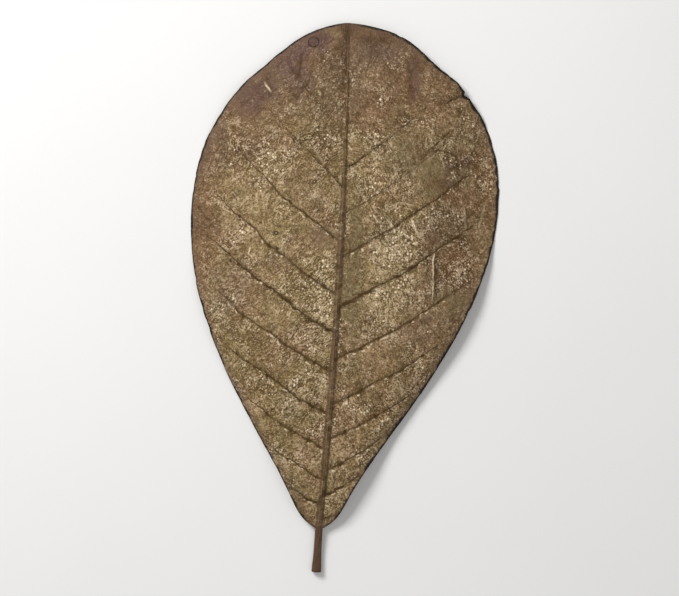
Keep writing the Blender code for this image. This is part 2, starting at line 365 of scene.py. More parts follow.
class LeafColours(PropertyGroup):
    """Colours of the dried leaf."""

    olive: colour_property("Olive", "Ground colour of the upper face", 148, 125, 83)
    rose: colour_property("Rose brown", "Warmer clouds in the ground", 156, 127, 91)
    # Moss is also laid as painted shade beside the midrib
    moss: colour_property("Moss", "Greener, darker clouds in the ground", 126, 108, 74)
    # Gold is painted golden sheen
    gold: colour_property("Gold", "Lightest areas beside the midrib", 168, 144, 102)
    dusk: colour_property("Dusk", "Darker brown of the upper third", 109, 85, 65)
    russet: colour_property("Russet", "Red brown of the margins and patches", 133, 101, 69)
    plum: colour_property("Plum", "Purple grey of the stains", 95, 68, 62)
    # Straw is painted highlight: the glints, the sheen of the mottling, the pale crease lines and the
    # pale marks beside the veins
    straw: colour_property("Straw", "Pale flecks of the dry skin", 244, 222, 188)
    # Umber is laid for the dark dots, the stalk's stripes and a patch at the tip, and as painted shade
    # in the mottling, in the hollows between the small pillows and beside the creases
    umber: colour_property("Umber", "Dark dots between the flecks", 62, 39, 4)
    # Vein is also laid as painted shade along the dark crease lines
    vein: colour_property("Vein", "Side veins", 70, 47, 8)
    midrib: colour_property("Midrib", "Middle of the midrib", 113, 90, 66)
    # Rim is laid for the round stains and as painted shade along the upper face's edge
    rim: colour_property("Rim", "Thin dark line of the edge", 24, 16, 11)
    underside: colour_property("Underside", "Ground colour of the lower face", 137, 116, 88)
    stalk: colour_property("Stalk", "Stalk and its swollen end", 84, 62, 44)


class StudioSettings(PropertyGroup):
    """The table, the lights and the camera."""

    floor_colour: colour_property("Table", "Pale table top", 243, 242, 240)
    key_power: number_property("Key light", "Soft light from the upper left", 5.2, unit="POWER")
    fill_power: number_property("Fill light", "Wide light from above", 2.0, unit="POWER")
    sky_strength: number_property("Sky", "Strength of the even light from all round", 0.27)
    lens: number_property("Lens", "Focal length of the camera", 100.0, unit="CAMERA")
    lean: number_property(
        "Lean", "How far the leaf leans to the right", math.radians(3.4), subtype="ANGLE"
    )
    view_height: length_property("View height", "What the picture shows from bottom to top", 203.0)


def smooth(value):
    """A soft step from 0 to 1 while value goes from 0 to 1."""
    value = np.clip(value, 0.0, 1.0)
    return value * value * (3.0 - 2.0 * value)


def bell(distance, width):
    """1 at distance 0, falling softly to nothing past twice the width."""
    return np.exp(-((distance / width) ** 2))


def halved(values):
    """The values with the middle of each pair between them."""
    places = np.arange(2 * len(values) - 1) / 2.0
    return np.interp(places, np.arange(len(values)), values)


def soft_noise(x, y, size, seed):
    """Smooth noise from -1 to 1: random heights on a square lattice of that size, joined softly."""
    heights = np.random.default_rng(seed).uniform(-1.0, 1.0, (LATTICE, LATTICE))
    column, across = np.divmod(x / size, 1.0)
    row, up = np.divmod(y / size, 1.0)
    column, row = column.astype(int) % LATTICE, row.astype(int) % LATTICE
    next_column, next_row = (column + 1) % LATTICE, (row + 1) % LATTICE
    across, up = smooth(across), smooth(up)
    lower = heights[row, column] * (1.0 - across) + heights[row, next_column] * across
    upper = heights[next_row, column] * (1.0 - across) + heights[next_row, next_column] * across
    return lower * (1.0 - up) + upper * up


def waves_over(x, y, sizes):
    """A function of a size in millimetres and a number: soft noise over the leaf's points."""
    return lambda size, number: soft_noise(x, y, size * MM, sizes.seed + number)


def pillow_net(x, y, size, seed):
    """0 on the borders of scattered cells and 1 inside them.

    Each square of a lattice holds one point, moved at random. The height is the difference of the
    distances to the two nearest points, brought to 1 half a cell from the border.
    """
    moves = np.random.default_rng(seed).uniform(0.1, 0.9, (2, LATTICE, LATTICE))
    column = np.floor(x / size).astype(int)
    row = np.floor(y / size).astype(int)
    nearest = np.full(x.shape, 9.0)
    second = np.full(x.shape, 9.0)
    for right in (-1, 0, 1):
        for up in (-1, 0, 1):
            at = ((row + up) % LATTICE, (column + right) % LATTICE)
            away_x = x / size - (column + right + moves[0][at])
            away_y = y / size - (row + up + moves[1][at])
            away = np.hypot(away_x, away_y)
            second = np.minimum(second, np.maximum(nearest, away))
            nearest = np.minimum(nearest, away)
    return smooth((second - nearest) / 0.5)


def edge_place(half, u):
    """How far along the blade, from 0 to 1, the line of constant u meets the edge."""
    return 1.0 - (1.0 - u) ** half.sweep


def half_width(half, v):
    """Width of one half at v: a power curve with its peak at widest_at, times the edge's bumps.

    The base lobe is added near the stalk.
    """
    base_power = half.tip_power * half.widest_at / (1.0 - half.widest_at)
    curve = v**base_power * (1.0 - v) ** half.tip_power
    peak = half.widest_at**base_power * (1.0 - half.widest_at) ** half.tip_power
    bumps = sum(height * bell(v - at, reach) for at, height, reach in half.bumps)
    lobe = BASE_LOBE * v / BASE_LOBE_AT * np.exp(1.0 - v / BASE_LOBE_AT)
    return half.width * curve / peak * (1.0 + bumps) + lobe


def nick_depth(half, v, t):
    """How far the nick, a small V, takes the blade inwards: only close to the edge."""
    return half.nick * np.clip(1.0 - np.abs(v - NICK_AT) / NICK_REACH, 0.0, 1.0) * t**12


def midrib_radius(along):
    """Radius of the stalk and the midrib, swollen at the stalk's end and slender at the tip."""
    slender = np.clip(along / BLADE_LENGTH, 0.0, 1.0) ** 0.8
    swell = STALK_END_SWELL * bell(along + STALK_LENGTH, FOOT_LENGTH)
    return STALK_RADIUS + (MIDRIB_TIP_RADIUS - STALK_RADIUS) * slender + swell


def midrib_height(along):
    """Height of the midrib's middle: flat at the stalk's foot, up to the crown, down to the tip."""
    foot = STALK_RADIUS + STALK_END_SWELL - STALK_PRESS
    lifted = BLADE_LENGTH + STALK_LENGTH - FOOT_LENGTH
    share = np.clip(1.0 - (BLADE_LENGTH - along) / lifted, 0.0, 1.0)
    arch = CROWN_HEIGHT - (foot + TIP_HEIGHT) / 2.0
    return foot + (TIP_HEIGHT - foot) * smooth(share) + arch * np.sin(math.pi * share) ** 1.2


def edge_height(half, v):
    """Height of the edge: pressed on the surface at rest_at, rippled and lifted away from it."""
    away = v - half.rest_at
    ripple = (1.0 - np.cos(2.0 * math.pi * half.waves * away)) / 2.0
    return SOLID_THICKNESS / 2.0 - EDGE_PRESS + half.ripple * (ripple + EDGE_LIFT * away**2)


def rest_on_floor(height):
    """Keeps a height from going below 0, with a short smooth bend into the flat."""
    bend = (height + FLOOR_BLEND) ** 2 / (4.0 * FLOOR_BLEND)
    return np.where(height > FLOOR_BLEND, height, np.where(height < -FLOOR_BLEND, 0.0, bend))


def vein_count(half, u):
    """Whole on each side vein, rising by 1 from one to the next, and going on past both ends."""
    first = half.veins[1] - half.veins[0]
    last = half.veins[-1] - half.veins[-2]
    past = 6
    places = (half.veins[0] - past * first, *half.veins, half.veins[-1] + past * last)
    numbers = (-past, *range(len(half.veins)), len(half.veins) - 1 + past)
    return np.interp(u, places, numbers)


def row_stations():
    """Distances along the midrib, in metres, from the stalk's end to the tip.

    Every side vein has a row on its crest and one at each foot, and the stretches between are
    filled evenly. Each stretch is then halved, so every second row is one of the lower face's.
    """
    crests = sorted(LEFT.veins + RIGHT.veins)
    foot = VEIN_FOOT / BLADE_LENGTH
    rows = [0.0, 1.0] + crests
    for row in [crest + step * foot for crest in crests for step in (-1, 1)]:
        if min(abs(row - other) for other in rows) > SMALLEST_ROW:
            rows.append(row)
    rows.sort()
    filled = []
    for start, end in zip(rows, rows[1:]):
        parts = math.ceil((end - start) / LARGEST_ROW)
        filled += [start + (end - start) * part / parts for part in range(parts)]
    blade = [row * BLADE_LENGTH for row in filled] + [BLADE_LENGTH]
    stalk = [STALK_LENGTH * (row / STALK_ROWS - 1.0) for row in range(STALK_ROWS)]
    return halved(np.array(stalk + blade))


def column_shares():
    """Shares from 0 at the midrib's middle to 1 at the edge: the midrib's core, then the blade."""
    core = np.linspace(0.0, CORE_SHARE, CORE_COLUMNS, endpoint=False)
    blade = np.linspace(CORE_SHARE, 1.0, HALF_COLUMNS + 1)
    return halved(np.concatenate([core, blade]))


def half_plan(half, share, along):
    """Places and coordinates of one half of the leaf, each an array of rows by columns.

    share is a row of column shares and along a column of distances. x and y are the plan. z is the
    smooth middle of the blade's thickness: it goes from the midrib's height to the edge's with the
    square of t, and the half's own rise is added. On the stalk, turn goes round its section.
    """
    u = np.clip(along / BLADE_LENGTH, 0.0, 1.0)
    v = edge_place(half, u)
    width = half_width(half, v)
    grown = smooth(width / BLADE_GROWN_WIDTH)
    spread = smooth(width / (0.35 * half.width))
    radius = midrib_radius(along)
    turn = math.pi / 2.0 * share
    core = np.minimum(share / CORE_SHARE, 1.0)
    outward = np.clip((share - CORE_SHARE) / (1.0 - CORE_SHARE), 0.0, 1.0)
    t = 1.0 - (1.0 - outward) ** EDGE_CROWDING
    rib_across = radius * ((1.0 - grown) * np.sin(turn) + grown * core)
    bow = MIDRIB_BOW * 4.0 * u * (1.0 - u)
    off_rib = rib_across + width * t
    middle = midrib_height(along)
    rise = spread * HALF_RISE * 4.0 * t * (1.0 - t)
    row_length = np.hypot(width, (v - u) * BLADE_LENGTH)
    count = vein_count(half, u)
    plan = {
        "x": half.side * (off_rib - nick_depth(half, v, t)) + bow,
        "y": along + (v - u) * BLADE_LENGTH * t - half.sag * width * 4.0 * t * (1.0 - t),
        "z": middle + (edge_height(half, v) - middle) * spread * t**2 + rise,
        "t": t,
        "rib_radius": radius,
        "grown": grown,
        "spread": spread,
        "turn": turn,
        "core": core,
        "off_rib": half.side * off_rib,
        "vein_count": count,
        "strong": np.interp(np.rint(count), range(len(half.strong)), half.strong),
        "ladder_count": (t * row_length + LADDER_LEAN * u * BLADE_LENGTH) / LADDER_GAP,
    }
    shape = (len(along), share.shape[1])
    return {name: np.broadcast_to(value, shape) for name, value in plan.items()}


def leaf_plan():
    """Both halves side by side, with the middle of the plan's box on the origin."""
    share = column_shares()[None, :]
    along = row_stations()[:, None]
    left = half_plan(LEFT, share, along)
    right = half_plan(RIGHT, share, along)
    plan = {
        name: np.concatenate([left[name][:, :0:-1], right[name]], axis=1) for name in right
    }
    for axis in ("x", "y"):
        plan[axis] = plan[axis] - (plan[axis].min() + plan[axis].max()) / 2.0
    return plan


def wander(plan, sizes):
    """Moves the plan's points a little: the veins wobble, and the edge is worn.

    The wobble is noise that fades out at the midrib and the edge. The wear is noise, deeper where
    it passes a limit, along the line from the leaf's middle, and only near the edge.
    """
    x, y, t = plan["x"], plan["y"], plan["t"]
    wave = waves_over(x, y, sizes)
    free = np.clip(4.0 * t * (1.0 - t), 0.0, 1.0) ** 0.5 * plan["grown"]
    wobble = sizes.vein_wobble * (wave(11.0, 1) + 0.35 * wave(3.4, 2)) * free
    up = y - WEAR_CENTRE
    away = np.hypot(x, up) + MM
    wear = wave(5.0, 3) + 0.7 * wave(1.9, 4)
    chips = np.clip(wave(2.6, 5) - 0.62, 0.0, 1.0) * 5.0
    worn = sizes.edge_wear * (wear - chips - 0.4) * t**14 * plan["spread"]
    return x + 0.4 * wobble + worn * x / away, y + wobble + worn * up / away


def line_spacing(field, x, y):
    """Distance, in metres, over which a field over the grid rises by 1: one over its slope."""
    field_down, field_across = np.gradient(field)
    x_down, x_across = np.gradient(x)
    y_down, y_across = np.gradient(y)
    area = x_down * y_across - x_across * y_down
    area = np.where(np.abs(area) < 1e-12, 1e-12, area)
    slope_x = (field_down * y_across - field_across * y_down) / area
    slope_y = (x_down * field_across - x_across * field_down) / area
    return np.clip(1.0 / np.maximum(np.hypot(slope_x, slope_y), 1.0), 0.0, 0.05)


def edge_distance(x, y):
    """Distance from each point to the nearest point of the leaf's edge."""
    outline_x = np.concatenate([x[:, 0], x[:, -1]])
    outline_y = np.concatenate([y[:, 0], y[:, -1]])
    rows = [
        np.hypot(row_x[:, None] - outline_x, row_y[:, None] - outline_y).min(axis=1)
        for row_x, row_y in zip(x, y)
    ]
    return np.array(rows)


def crease_height(crease, x, y):
    """Height of one crease: a bell across its line, and a step that fades out to both sides."""
    start = np.array(crease.start) * MM
    line = np.array(crease.end) * MM - start
    length = math.hypot(*line)
    line = line / length
    past = (x - start[0]) * line[0] + (y - start[1]) * line[1]
    beside = (x - start[0]) * line[1] - (y - start[1]) * line[0]
    beside = beside + 0.5 * MM * soft_noise(x, y, 3.0 * MM, 31)
    ends = smooth(past / (0.25 * length)) * smooth((length - past) / (0.25 * length))
    width = crease.width * MM
    fold = crease.height * bell(beside, width)
    step = crease.step * np.tanh(beside / width) * bell(beside, 6.0 * width)
    return MM * ends * (fold + step)


def leaf_fields(plan, sizes):
    """Adds the vein coordinates and the distances that both the relief and the colours use.

    The side veins, their forks and the ladder veins are the lines on which a count is whole. The
    part of the count that is not whole, times its gap, is the distance to the line in metres.
    """
    x, y = wander(plan, sizes)
    wave, seed = waves_over(x, y, sizes), sizes.seed
    count, t = plan["vein_count"], plan["t"]
    whole = np.rint(count)
    shifts = np.random.default_rng(seed + 6).uniform(-0.5, 0.5, LADDER_SHIFTS)
    beside = np.clip((count - whole) / SHIFT_BLEND, -1.0, 1.0)
    lower_gap = shifts[(whole - 1).astype(int) % LADDER_SHIFTS]
    upper_gap = shifts[whole.astype(int) % LADDER_SHIFTS]
    shift = lower_gap + (upper_gap - lower_gap) * smooth(beside / 2.0 + 0.5)
    ladder = plan["ladder_count"] + shift + 0.32 * wave(13.0, 7) + 0.16 * wave(4.2, 8)
    fork_from = FORK_START + 0.1 * soft_noise(count, count * 0.0, 1.0, seed + 9)
    fork = count - FORK_SPREAD * smooth((t - fork_from) / (FORK_END - fork_from))
    plan.update(x=x, y=y, edge_distance=edge_distance(x, y))
    for name, field in (("vein", count), ("fork", fork), ("ladder", ladder)):
        gap = line_spacing(field, x, y)
        plan[name + "_count"], plan[name + "_gap"] = field, gap
        plan["off_" + name] = np.abs(field - np.rint(field)) * gap
    taper = (1.0 - 0.72 * t) * smooth((1.02 - t) / 0.3)
    plan["vein_width"] = sizes.vein_width * taper * plan["strong"]
    plan["fork_width"] = sizes.vein_width * FORK_WIDTH * plan["strong"] * smooth((t - 0.45) / 0.2)
    swayed = x + 0.6 * MM * wave(2.0, 10)
    plan["pillow"] = pillow_net(swayed, y, sizes.pillow_size, seed + 11)
    return plan


def relief(plan, sizes):
    """Heights, in metres, of the upper and the lower face over the flat of the floor.

    The middle of the blade gets panels between the side and ladder veins, wrinkles of three sizes,
    and the creases. The upper face adds the midrib between its two grooves and the fine veins. The
    lower face adds the midrib's and the side veins' keels.
    """
    x, y, t, grown, spread = (plan[name] for name in ("x", "y", "t", "grown", "spread"))
    wave = waves_over(x, y, sizes)
    flat = spread * smooth(plan["edge_distance"] / (3.0 * MM))
    between = np.abs(np.sin(math.pi * plan["vein_count"])) ** 0.8
    rungs = np.abs(np.sin(math.pi * plan["ladder_count"]))
    panels = PANEL_PUFF * between * (0.55 + 0.45 * rungs) * (1.0 - t**3)
    rough = 0.55 + 0.9 * smooth(wave(16.0, 16) + 0.5)
    fine_crinkles = rough * (0.65 * wave(5.5, 13) + 0.34 * wave(2.6, 14))
    crinkles = sizes.crinkle * (wave(15.0, 12) + fine_crinkles)
    rib = np.abs(plan["off_rib"])
    ridge = RIB_RIDGE * np.exp(-rib / RIB_RIDGE_REACH) * spread
    off_pucker = np.hypot((x - PUCKER_X) / PUCKER_REACH_X, (y - PUCKER_Y) / PUCKER_REACH_Y)
    puckers = PUCKER_HEIGHT * bell(off_pucker, 1.0) * wave(2.9, 15)
    creases = sum(crease_height(crease, x, y) for crease in CREASES)
    middle = plan["z"] + ridge + spread * panels + flat * (crinkles + puckers + creases)

    radius, core, turn = plan["rib_radius"], plan["core"], plan["turn"]
    thickness = sizes.thickness
    stalk_bulge = (radius - thickness / 2.0) * np.cos(turn)
    stalk_grooves = 0.05 * np.sin(turn * 9.0) * np.sin(turn * 2.0) * radius
    rib_crest = radius * np.cos(math.pi / 2.0 * core)
    stout = smooth((radius - 0.5 * MM) / (0.5 * MM))
    rib_grooves = GROOVE_DEPTH * bell(rib - radius - GROOVE_OFF, GROOVE_WIDTH) * stout
    vein = np.clip(1.0 - plan["off_vein"] / VEIN_FOOT, 0.0, 1.0) * (1.0 - t) ** 0.7 * spread
    thin_vein = bell(plan["off_vein"], 0.45 * MM) * (1.0 - 0.8 * t) * plan["strong"] * spread
    fork = bell(plan["off_fork"], 0.5 * MM) * smooth((t - 0.5) / 0.2) * spread
    rung = bell(plan["off_ladder"], 0.45 * MM) * spread
    pillows = sizes.pillow_height * (plan["pillow"] - 0.6) * flat
    above = (1.0 - grown) * (stalk_bulge + stalk_grooves) + grown * (0.40 * rib_crest - rib_grooves)
    above = above + sizes.vein_ridge * thin_vein - 0.05 * MM * rung * flat + pillows
    below = (1.0 - grown) * (stalk_bulge + stalk_grooves) + grown * 0.9 * rib_crest
    below = below + sizes.vein_keel * vein + 0.12 * MM * (fork + rung) * flat
    low = rest_on_floor(middle - thickness / 2.0 - below)
    high = np.maximum(middle + thickness / 2.0 + above, low + thickness)
    return high, low


def grid_triangles(rows, columns):
    """Two triangles for each square of a grid of points, numbered row by row."""
    numbers = np.arange(rows * columns).reshape(rows, columns)
    a, b = numbers[:-1, :-1].ravel(), numbers[:-1, 1:].ravel()
    c, d = numbers[1:, 1:].ravel(), numbers[1:, :-1].ravel()
    return np.concatenate([np.column_stack((a, b, c)), np.column_stack((a, c, d))])


def rim(rows, columns):
    """Numbers of a grid's border points, going round it once against the clock."""
    numbers = np.arange(rows * columns).reshape(rows, columns)
    return np.concatenate(
        [numbers[0, :-1], numbers[:-1, -1], numbers[-1, :0:-1], numbers[:0:-1, 0]]
    )


def skin_triangles(rows, columns):
    """Triangles of the closed skin: upper face, every second point of the lower face, and the rim."""
    upper = grid_triangles(rows, columns)
    low_rows, low_columns = rows // 2 + 1, columns // 2 + 1
    start = rows * columns
    lower = grid_triangles(low_rows, low_columns)[:, ::-1] + start
    high = rim(rows, columns)
    low = rim(low_rows, low_columns) + start
    first, middle, last = high[0::2], high[1::2], np.roll(high[0::2], -1)
    low_last = np.roll(low, -1)
    wall = np.concatenate(
        [
            np.column_stack((low, middle, first)),
            np.column_stack((low, low_last, middle)),
            np.column_stack((low_last, last, middle)),
        ]
    )
    return np.concatenate([upper, lower, wall]), len(upper), len(lower)


def new_mesh(name, points, triangles):
    """A mesh of those points and triangles."""
    mesh = bpy.data.meshes.new(name)
    mesh.vertices.add(len(points))
    mesh.vertices.foreach_set("co", points.astype(np.float32).ravel())
    mesh.loops.add(triangles.size)
    mesh.loops.foreach_set("vertex_index", triangles.astype(np.int32).ravel())
    mesh.polygons.add(len(triangles))
    mesh.polygons.foreach_set("loop_start", np.arange(0, triangles.size, 3, dtype=np.int32))
    mesh.update(calc_edges=True)
    mesh.validate()
    return mesh


# What the mesh holds at each point for its colours
FIELDS = [part + kind for part in ("vein", "fork", "ladder") for kind in ("_count", "_gap")]
FIELDS += ["vein_width", "fork_width", "off_rib", "rib_radius", "edge_distance", "grown", "pillow"]


def build_leaf_mesh(sizes):
    """The closed skin with its fields as point attributes and its two faces' materials."""
    plan = leaf_fields(leaf_plan(), sizes)
    high, low = relief(plan, sizes)
    rows, columns = high.shape
    every_second = (slice(None, None, 2), slice(None, None, 2))
    x, y = plan["x"], plan["y"]
    upper = np.column_stack((x.ravel(), y.ravel(), high.ravel()))
    lower = np.column_stack([part[every_second].ravel() for part in (x, y, low)])
    triangles, upper_count, lower_count = skin_triangles(rows, columns)
    mesh = new_mesh("dried_leaf", np.concatenate([upper, lower]), triangles)
    material_numbers = np.zeros(len(triangles), dtype=np.int32)
    material_numbers[upper_count : upper_count + lower_count] = 1
    mesh.polygons.foreach_set("material_index", material_numbers)
    for name in FIELDS:
        attribute = mesh.attributes.new(name, "FLOAT", "POINT")
        both = np.concatenate([plan[name].ravel(), plan[name][every_second].ravel()])
        attribute.data.foreach_set("value", both.astype(np.float32))
    mesh.shade_smooth()
    return mesh


class Wire:
    """An output of a node. Arithmetic on it adds the Math or Vector Math node that does it."""

    def __init__(self, recipe, socket):
        self.recipe = recipe
        self.socket = socket

    def sum(self, operation, *others, output=0):
        """The result of one operation on this output and the others."""
        kind = "Math" if self.socket.type == "VALUE" else "VectorMath"
        node = self.recipe.node(kind, operation=operation)
        for socket, source in zip(node.inputs, (self, *others)):
            self.recipe.feed(socket, source)
        return Wire(self.recipe, node.outputs[output])

    def __add__(self, other):
        return self.sum("ADD", other)

    def __sub__(self, other):
        return self.sum("SUBTRACT", other)

    def __mul__(self, other):
        return self.sum("MULTIPLY", other)

    def __truediv__(self, other):
        return self.sum("DIVIDE", other)

    def __abs__(self):
        return self.sum("ABSOLUTE")

    def rest(self):
        """What is missing from 1."""
        return self * -1.0 + 1.0


class Recipe:
    """Adds nodes to one tree, each fed by earlier outputs or by plain values.

    palette holds the colours that the user can change, and colour is the colour so far, on which
    each next one is laid. A colour is a name of the palette, an earlier output or a plain value.
    """

    def __init__(self, tree, palette=None):
        self.tree = tree
        self.palette = palette
        self.colour = None

    def feed(self, socket, source):
        """Links a socket to an earlier output, or sets its value."""
        if isinstance(source, Wire):
            self.tree.links.new(source.socket, socket)
        else:
            socket.default_value = source

    def fill(self, sockets, sources):
        """Feeds sockets by name."""
        for name, source in sources.items():
            self.feed(sockets[name], source)

    def node(self, kind, feeds=None, **settings):
        """A new node with its settings, and its sockets fed by name."""
        node = self.tree.nodes.new("ShaderNode" + kind)
        for name, value in settings.items():
            setattr(node, name, value)
        self.fill(node.inputs, feeds or {})
        return node

    def wire(self, kind, feeds=None, output=0, **settings):
        """One output of a new node."""
        return Wire(self, self.node(kind, feeds, **settings).outputs[output])

    def wires(self, node):
        """All outputs of a node, by name."""
        return {socket.name: Wire(self, socket) for socket in node.outputs}

    def step(self, value, start, end, low=0.0, high=1.0):
        """A soft step from low to high while value goes from start to end."""
        feeds = {"Value": value, "From Min": start, "From Max": end, "To Min": low, "To Max": high}
        return self.wire("MapRange", feeds, interpolation_type="SMOOTHSTEP")

    def fall(self, value, start, end, high=1.0):
        """A soft step from high down to 0 while value goes from start to end."""
        return self.step(value, start, end, high, 0.0)

    def mix(self, share, first, second):
        """The second colour laid over the first."""
        node = self.node("Mix", data_type="RGBA")
        self.feed(node.inputs[0], share)
        for number, colour in ((6, first), (7, second)):
            named = isinstance(colour, str)
            self.feed(node.inputs[number], getattr(self.palette, colour) if named else colour)
        return Wire(self, node.outputs[2])

    def lay(self, share, colour):
        """Lays a colour over the colour so far."""
        self.colour = self.mix(share, self.colour, colour)

    def noise(self, place, size, detail=2.0, roughness=0.5, output=0):
        """Noise of that size in metres."""
        feeds = {"Vector": place, "Scale": 1.0 / size, "Detail": detail, "Roughness": roughness}
        return self.wire("TexNoise", feeds, output)

    def swing(self, place, size, reach, **settings):
        """Noise about 0, by half of reach to both sides."""
        return (self.noise(place, size, **settings) - 0.5) * reach

    def stir(self, place, size, reach, detail):
        """A random move, by half of reach to both sides along each axis."""
        return (self.noise(place, size, detail, output="Color") - (0.5, 0.5, 0.5)) * reach

    def field(self, name):
        """The number that the mesh holds under that name."""
        return self.wire("Attribute", output="Fac", attribute_name=name)

    def group(self, name, label="", **feeds):
        """The outputs of a shared group, fed by name."""
        return self.wires(self.node("Group", feeds, node_tree=bpy.data.node_groups[name], label=label))


def new_group(name, takes, gives):
    """A node group that gives numbers, with its recipe, its inputs by name and its end's sockets.

    takes holds each input's first value: a number, or three for a vector, or None for a place.
    """
    tree = bpy.data.node_groups.new(name, "ShaderNodeTree")
    for socket_name, value in takes.items():
        kind = "NodeSocketFloat" if isinstance(value, float) else "NodeSocketVector"
        socket = tree.interface.new_socket(socket_name, in_out="INPUT", socket_type=kind)
        if value is not None:
            socket.default_value = value
    for socket_name in gives:
        tree.interface.new_socket(socket_name, in_out="OUTPUT", socket_type="NodeSocketFloat")
    recipe = Recipe(tree)
    given = recipe.wires(tree.nodes.new("NodeGroupInput"))
    return recipe, given, tree.nodes.new("NodeGroupOutput").inputs


def build_vein_line_group():
    """Masks of the lines on which Count is whole: the line, its soft halo and its pale blobs.

    The distance to a line is the part of Count that is not whole, times Gap, moved by noise. The
    line falls from 1 inside a fifth of Width to 0 past it, and Width is made uneven by noise. The
    halo reaches three times as far, the painted highlights lie in spots on the stalk's side of the
    line, and Breaks says how deep the gaps in line and halo are.
    """
    takes = {"Place": None, "Count": 0.0, "Gap": 0.01, "Width": 0.5 * MM, "Breaks": 0.3}
    recipe, given, out = new_group("vein_line", takes, ("Line", "Halo", "Blobs"))
    place = given["Place"]
    part = (given["Count"] + 0.5).sum("FRACT") - 0.5
    side = part * given["Gap"] + recipe.swing(place, 2.6 * MM, 1.1 * MM, detail=1.0)
    uneven = recipe.noise(place, 2.6 * MM, detail=3.0, roughness=0.6)
    width = given["Width"] * recipe.step(uneven, 0.25, 0.75, 0.55, 1.5)
    line = recipe.fall(abs(side), width * 0.2, width)
    halo = recipe.fall(abs(side), 0.0, width * 3.2)
    unbroken = recipe.step(recipe.noise(place, 3.3 * MM), 0.36, 0.52)
    keep = (unbroken - 1.0) * given["Breaks"] + 1.0
    below = side * -1.0
    beside = recipe.step(below, width * 0.8, width * 1.5) * recipe.fall(below, width * 1.8, width * 3.4)
    spots = recipe.step(recipe.noise(place, 1.5 * MM, detail=1.0), 0.56, 0.66)
    recipe.fill(out, {"Line": line * keep, "Halo": halo * keep, "Blobs": beside * spots})


def build_fold_line_group():
    """Mask of one straight crease, and how far to its right side a point lies.

    The place is moved to the crease's centre and turned so that the crease runs along Y. Line is 1
    on it and fades at Width to both sides and at both ends; it is laid as a painted highlight or as
    painted shade. The mask of the right side is 1 just right of it, where painted shade is laid.
    """
    takes = {
        "Place": None,
        "Centre": (0.0, 0.0, 0.0),
        "Turn": 0.0,
        "Reach": 5.0 * MM,
        "Width": 0.5 * MM,
    }
    recipe, given, out = new_group("fold_line", takes, ("Line", "Shaded side"))
    place = given["Place"]
    moved = place - given["Centre"] + recipe.stir(place, 4.0 * MM, (1.6 * MM, 1.6 * MM, 0.0), 2.0)
    feeds = {"Vector": moved, "Angle": given["Turn"]}
    turned = recipe.wire("VectorRotate", feeds, rotation_type="Z_AXIS")
    axes = recipe.wires(recipe.node("SeparateXYZ", {"Vector": turned}))
    ends = recipe.fall(abs(axes["Y"]) / given["Reach"], 0.6, 1.0)
    off = axes["X"] / given["Width"]
    dark = recipe.step(off, 0.2, 1.2) * recipe.fall(off, 1.5, 6.0)
    uneven = recipe.step(recipe.noise(place, 1.4 * MM), 0.25, 0.6, 0.35, 1.0)
    line = recipe.fall(abs(off), 0.3, 1.0) * ends * uneven
    recipe.fill(out, {"Line": line, "Shaded side": dark * ends})


def build_patch_group():
    """Mask of a soft ragged blotch: 1 near Centre, 0 past Reach, its border moved by noise."""
    takes = {"Place": None, "Centre": (0.0, 0.0, 0.0), "Reach": (0.01, 0.01, 1.0), "Ragged": 0.6}
    recipe, given, out = new_group("soft_patch", takes, ("Mask",))
    place = given["Place"]
    far = ((place - given["Centre"]) / given["Reach"]).sum("LENGTH", output="Value")
    edge = recipe.swing(place, 5.5 * MM, given["Ragged"], detail=4.0, roughness=0.6)
    recipe.fill(out, {"Mask": recipe.fall(far + edge, 0.35, 1.15)})


